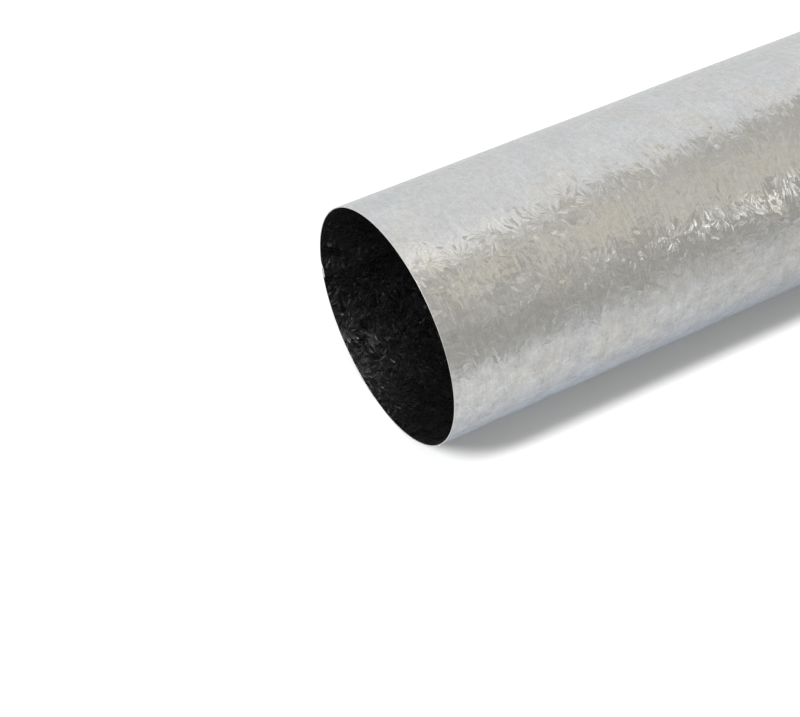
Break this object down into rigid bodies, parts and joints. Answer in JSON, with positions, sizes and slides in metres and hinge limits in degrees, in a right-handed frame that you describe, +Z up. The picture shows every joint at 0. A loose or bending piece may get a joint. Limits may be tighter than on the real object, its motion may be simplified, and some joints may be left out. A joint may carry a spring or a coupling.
{
  "type": "galvanized steel tube",
  "caption": "Length of thin-walled galvanised steel tube, rolled from sheet with a lock seam along it, open at both ends and lying on its side.",
  "frame": {"origin": "on the ground under the middle of the lying tube", "axes": "+X along the tube, +Z up, the seam on the +Y side"},
  "size_m": [1, 0.1292, 0.1207],
  "materials": {
    "zinc": "hot-dip galvanised steel sheet with a crystalline spangle, inside and out"
  },
  "bodies": {
    "root": {"tube": "zinc"}
  },
  "joints": []
}
